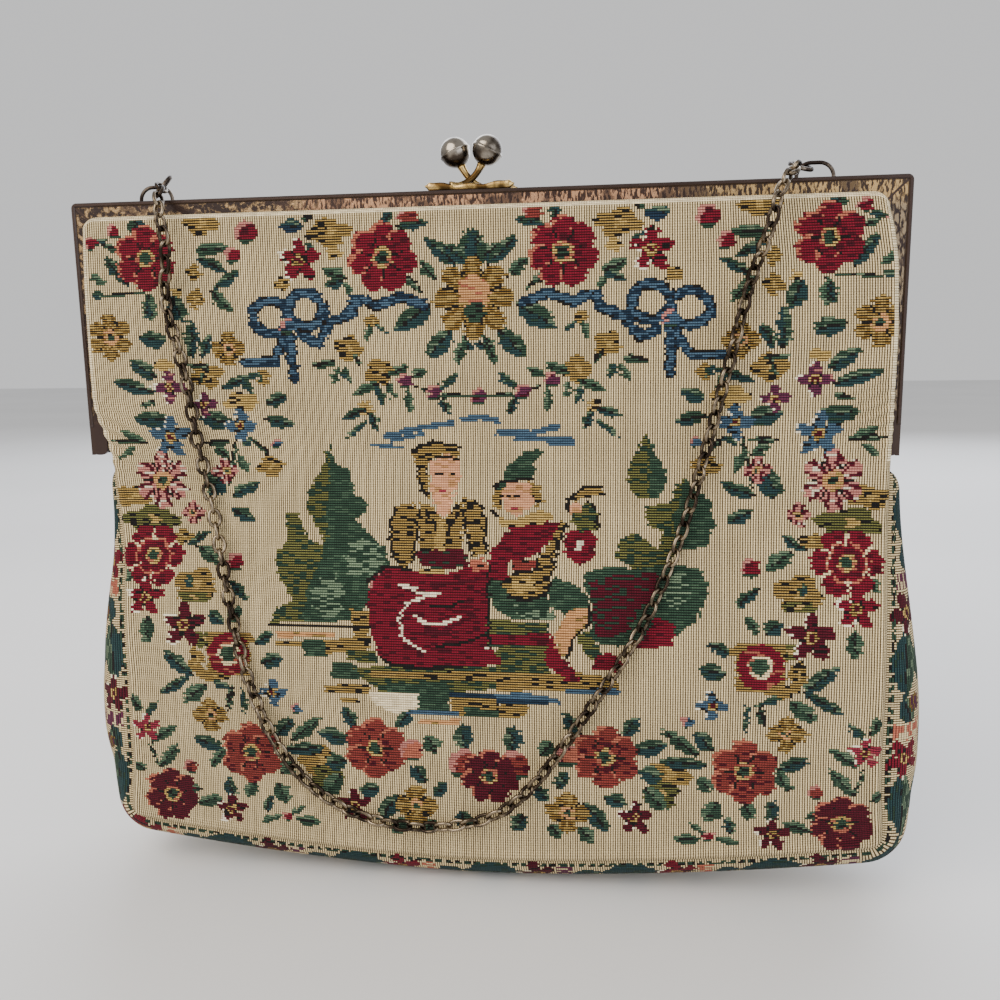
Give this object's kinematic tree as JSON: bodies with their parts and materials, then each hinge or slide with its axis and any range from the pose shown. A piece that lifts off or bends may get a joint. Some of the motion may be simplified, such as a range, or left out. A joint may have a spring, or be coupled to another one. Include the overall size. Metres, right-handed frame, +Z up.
{
  "type": "frame clutch purse",
  "caption": "Tapestry clutch purse with a hinged metal frame, kiss-lock clasp, side gusset and a fine chain hanging from the frame's ends.",
  "frame": {"origin": "centre of the flat middle of the base, at ground level", "axes": "+X to the right seen from the front, -Y towards the front with the chain, +Z up"},
  "size_m": [0.227, 0.0446, 0.1991],
  "materials": {
    "frame_bronze": "worn, dark patina with raised pale lines",
    "clasp_ball": "polished, grey",
    "clasp_gilt": "worn gilt",
    "loop_wire": "dark patina",
    "chain_brass": "antique, worn bright on the edges",
    "tapestry": "ribbed weave with coloured flowers on cream",
    "lining": "plain satin"
  },
  "bodies": {
    "bag": {"front_frame": "frame_bronze", "hinge_rivets": "frame_bronze", "front_ball": "clasp_ball", "front_clasp_mount": "clasp_gilt", "chain_loops": "loop_wire", "chain_rings": "loop_wire", "chain": "chain_brass", "front_panel": "tapestry", "back_panel": "tapestry", "gusset": "tapestry", "lining_front": "lining", "lining_back": "lining", "lining_gusset": "lining"},
    "rear_frame": {"rear_frame": "frame_bronze", "rear_clasp_mount": "clasp_gilt", "rear_ball": "clasp_ball"}
  },
  "joints": [
    {"name": "frame_hinge", "type": "hinge", "parent": "bag", "child": "rear_frame", "pos_m": [0, 0, 0.1206], "axis": [-1, 0, 0], "range_deg": [0, 80], "deforming": ["back_panel", "lining_back"]}
  ]
}
